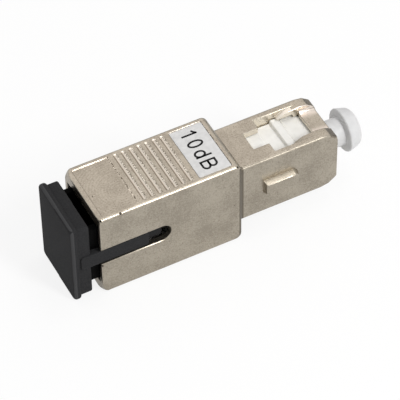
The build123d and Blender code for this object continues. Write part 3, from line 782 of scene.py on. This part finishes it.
# Rating: a plain number and unit, drawn as strokes of even width (u to the right, v up).
# Letters run towards -Y with their tops towards +X, so (u, v) lies at (foot + v, start - u).
# Round and bowl are (from angle, to angle, count) of their arcs.
rating = {
    "footX": -4.28,
    "startY": 3.3,
    "height": 2.06,
    "stroke": 0.27,
    "bottom": 6.322,
    "top": 6.336,
    "round": (0, 352.5, 48),
    "bowl": (90, -90, 20),
}
half = 0.5 * rating["stroke"]
full = rating["height"]
highBowl = arcPoints((5.84, 1.49), 0.45, 0.44, *rating["bowl"])
lowBowl = arcPoints((5.93, 0.59), 0.48, 0.46, *rating["bowl"])

# each stroke is its line of points, and whether it closes on itself
strokes = (
    ([(0.6, 0.03), (0.6, full)], False),
    ([(0.63, full - 0.06), (0.38, full - 0.36), (0.08, full - 0.56)], False),
    (arcPoints((2.2, 0.5 * full), 0.46, 0.5 * full - half, *rating["round"]), True),
    (arcPoints((3.94, 0.75), 0.48, 0.75 - half, *rating["round"]), True),
    ([(4.42, 0.02), (4.42, full)], False),
    ([(5.23, 0), (5.23, full)], False),
    (np.concatenate([[(5.23, full - half)], highBowl, [(5.23, 1.05)]]), False),
    (np.concatenate([[(5.23, 1.05)], lowBowl, [(5.23, half)]]), False),
)

# a stroke's edges lie half its width to either side of its line, mitred where it turns
forms = []
for path, loop in strokes:
    path = np.array(path, float)
    before = np.roll(path, 1, axis=0) if loop else np.vstack([2 * path[:1] - path[1:2], path[:-1]])
    later = np.roll(path, -1, axis=0) if loop else np.vstack([path[1:], 2 * path[-1:] - path[-2:-1]])
    arriving, leaving = path - before, later - path
    arriving /= np.linalg.norm(arriving, axis=1, keepdims=True)
    leaving /= np.linalg.norm(leaving, axis=1, keepdims=True)
    sideways = (arriving + leaving)[:, ::-1] * (-1, 1)
    sideways *= 2 * half / np.sum(sideways ** 2, axis=1, keepdims=True)
    edges = np.stack([path + sideways, path + sideways, path - sideways, path - sideways], axis=1)
    heights = np.array([rating["bottom"], rating["top"], rating["top"], rating["bottom"]])
    places = [rating["footX"] + edges[..., 1], rating["startY"] - edges[..., 0]]
    rings = np.stack([*places, np.broadcast_to(heights, edges.shape[:2])], -1)
    forms.append((rings.reshape(-1, 3), ringFaces(len(path), 4, loop)))
placePiece(meshPiece("printed_rating", *joinForms(forms)), "black_thermal_print", "shell", "silver_label")
print("label and rating made")

# The fibre keeps its CAD form
frame["nodes"]["attenuating_fibre"].data.materials.clear()
frame["nodes"]["attenuating_fibre"].data.materials.append(materials["doped_silica_glass"])


# Share of plain white that a ray meets: all of it from the camera or through glass, a given part
# of it in a mirror, and none for the light on the object
def whiteSeen(tree, mirrored):
    path = addNode(tree, "ShaderNodeLightPath").outputs
    glossy = {0: path["Is Glossy Ray"], 1: mirrored}
    seen = addNode(tree, "ShaderNodeMath", glossy, operation="MULTIPLY").outputs[0]
    for kind in ("Is Camera Ray", "Is Transmission Ray"):
        seen = addNode(tree, "ShaderNodeMath", {0: seen, 1: path[kind]}, operation="MAXIMUM").outputs[0]
    return seen


# Floor: white paper that shows plain white apart from the object's shadow. In reflections less of
# that plain white is laid over it.
plainWhite = (1, 1, 1, 1)
floor = {
    "radius": 900,
    "sides": 96,
    "z": -6.4,
    "colour": "FCFCFC",
    "whiteShare": 0.84,
    "mirrored": 0.53,
}
turn = np.arange(floor["sides"]) * math.tau / floor["sides"]
rim = floor["radius"] * np.stack([np.cos(turn), np.sin(turn)], -1)
disc = np.column_stack([rim, np.full(floor["sides"], floor["z"])])
floorPiece = meshPiece("studio_floor", disc, [list(range(floor["sides"]))])
bpy.context.scene.collection.objects.link(floorPiece)
paper = bpy.data.materials.new("white_paper")
tree = emptyTree(paper)
white = {0: whiteSeen(tree, floor["mirrored"]), 1: floor["whiteShare"]}
share = addNode(tree, "ShaderNodeMath", white, operation="MULTIPLY")
matt = addNode(tree, "ShaderNodeBsdfDiffuse", {"Color": linearColour(floor["colour"])})
glow = addNode(tree, "ShaderNodeEmission", {"Color": plainWhite, "Strength": 1.0})
mixing = {0: share.outputs[0], 1: matt.outputs[0], 2: glow.outputs[0]}
mixed = addNode(tree, "ShaderNodeMixShader", mixing)
addNode(tree, "ShaderNodeOutputMaterial", {"Surface": mixed.outputs[0]})
floorPiece.data.materials.append(paper)

# Black card: a low curved screen far behind the nose that shows only in reflections, for dark edges
card = {"radius": 130, "from": 5, "to": 100, "low": -6.3, "high": 16, "steps": 40, "colour": "101010"}
turn = np.radians(np.linspace(card["from"], card["to"], card["steps"]))
curve = card["radius"] * np.stack([np.sin(turn), np.cos(turn)], -1)
edges = [np.column_stack([curve, np.full(card["steps"], card[end])]) for end in ("low", "high")]
rings = np.stack(edges, 1)
first = 2 * np.arange(card["steps"] - 1)[:, None]
cardPiece = meshPiece("black_card", rings, (first + [0, 1, 3, 2]).tolist())
bpy.context.scene.collection.objects.link(cardPiece)
blackCard = bpy.data.materials.new("black_card")
tree = emptyTree(blackCard)
dull = addNode(tree, "ShaderNodeBsdfDiffuse", {"Color": linearColour(card["colour"])})
addNode(tree, "ShaderNodeOutputMaterial", {"Surface": dull.outputs[0]})
cardPiece.data.materials.append(blackCard)
cardPiece.visible_camera = False
cardPiece.visible_diffuse = False
cardPiece.visible_shadow = False

# World: even ambient light on the object, plain white where it is seen or mirrored
studio = {"ambient": 0.53, "background": 1.0}
world = bpy.data.worlds.new("studio")
bpy.context.scene.world = world
tree = emptyTree(world)
ambient = addNode(tree, "ShaderNodeBackground", {"Color": plainWhite, "Strength": studio["ambient"]})
backdrop = addNode(tree, "ShaderNodeBackground", {"Color": plainWhite, "Strength": studio["background"]})
layers = {0: whiteSeen(tree, 1.0), 1: ambient.outputs[0], 2: backdrop.outputs[0]}
mixed = addNode(tree, "ShaderNodeMixShader", layers)
addNode(tree, "ShaderNodeOutputWorld", {"Surface": mixed.outputs[0]})


# Unit vector towards a compass azimuth a (0 along +Y, 90 along +X) and an elevation e in degrees:
# (sin a cos e, cos a cos e, sin e)
def direction(azimuth, elevation):
    azimuth, elevation = math.radians(azimuth), math.radians(elevation)
    flat = math.cos(elevation)
    return np.array([math.sin(azimuth) * flat, math.cos(azimuth) * flat, math.sin(elevation)])


# Soft boxes: flat lamps (width, height) that face the object; watts = radiance x pi x area
lamps = {
    "overhead": {
        "azimuth": 27,
        "elevation": 47,
        "size": (460, 460),
        "radiance": 0.3,
        "colour": "FFEEE8",
    },
    "top_light": {
        "azimuth": 70,
        "elevation": 71,
        "size": (110, 110),
        "radiance": 5.0,
        "colour": "FFFFFF",
    },
    "edge_light": {
        "azimuth": 156,
        "elevation": 44,
        "size": (90, 230),
        "radiance": 20.0,
        "colour": "FFFFFF",
    },
    "low_side_light": {
        "azimuth": -52,
        "elevation": 8,
        "size": (100, 100),
        "radiance": 2.0,
        "colour": "FFFFFF",
    },
}
lampDistance = 500
for name, lamp in lamps.items():
    light = bpy.data.lights.new(name, "AREA")
    light.shape = "RECTANGLE"
    light.size, light.size_y = (side * mm for side in lamp["size"])
    light.energy = lamp["radiance"] * math.pi * light.size * light.size_y
    light.color = linearColour(lamp["colour"])[:3]
    piece = bpy.data.objects.new(name, light)
    piece.location = (direction(lamp["azimuth"], lamp["elevation"]) * lampDistance * mm).tolist()
    piece.rotation_euler = (math.radians(90 - lamp["elevation"]), 0, math.radians(180 - lamp["azimuth"]))
    bpy.context.scene.collection.objects.link(piece)
print("stage and lamps made")

# Camera: long lens, found from the straight edges of the body and the nose in the photograph
camera = {
    "target": (-4.31, -2.01, 0.0),
    "azimuth": 26.97,
    "elevation": 48.07,
    "roll": -0.92,
    "distance": 309.5,
    "lens": 234,
    "sensor": 36,
    "nearest": 10,
}
view = bpy.data.cameras.new("photo_camera")
view.lens = camera["lens"]
view.sensor_width = camera["sensor"]
view.clip_start = camera["nearest"] * mm
cameraPiece = bpy.data.objects.new("photo_camera", view)
away = -direction(camera["azimuth"], -camera["elevation"])
cameraPiece.location = ((np.array(camera["target"]) + camera["distance"] * away) * mm).tolist()
aim = Euler((math.radians(90 - camera["elevation"]), 0, -math.radians(camera["azimuth"]))).to_matrix()
cameraPiece.rotation_euler = (aim @ Matrix.Rotation(math.radians(camera["roll"]), 3, "Z")).to_euler()
bpy.context.scene.collection.objects.link(cameraPiece)
bpy.context.scene.camera = cameraPiece
bpy.context.scene.view_settings.view_transform = "Standard"

print("scene finished")
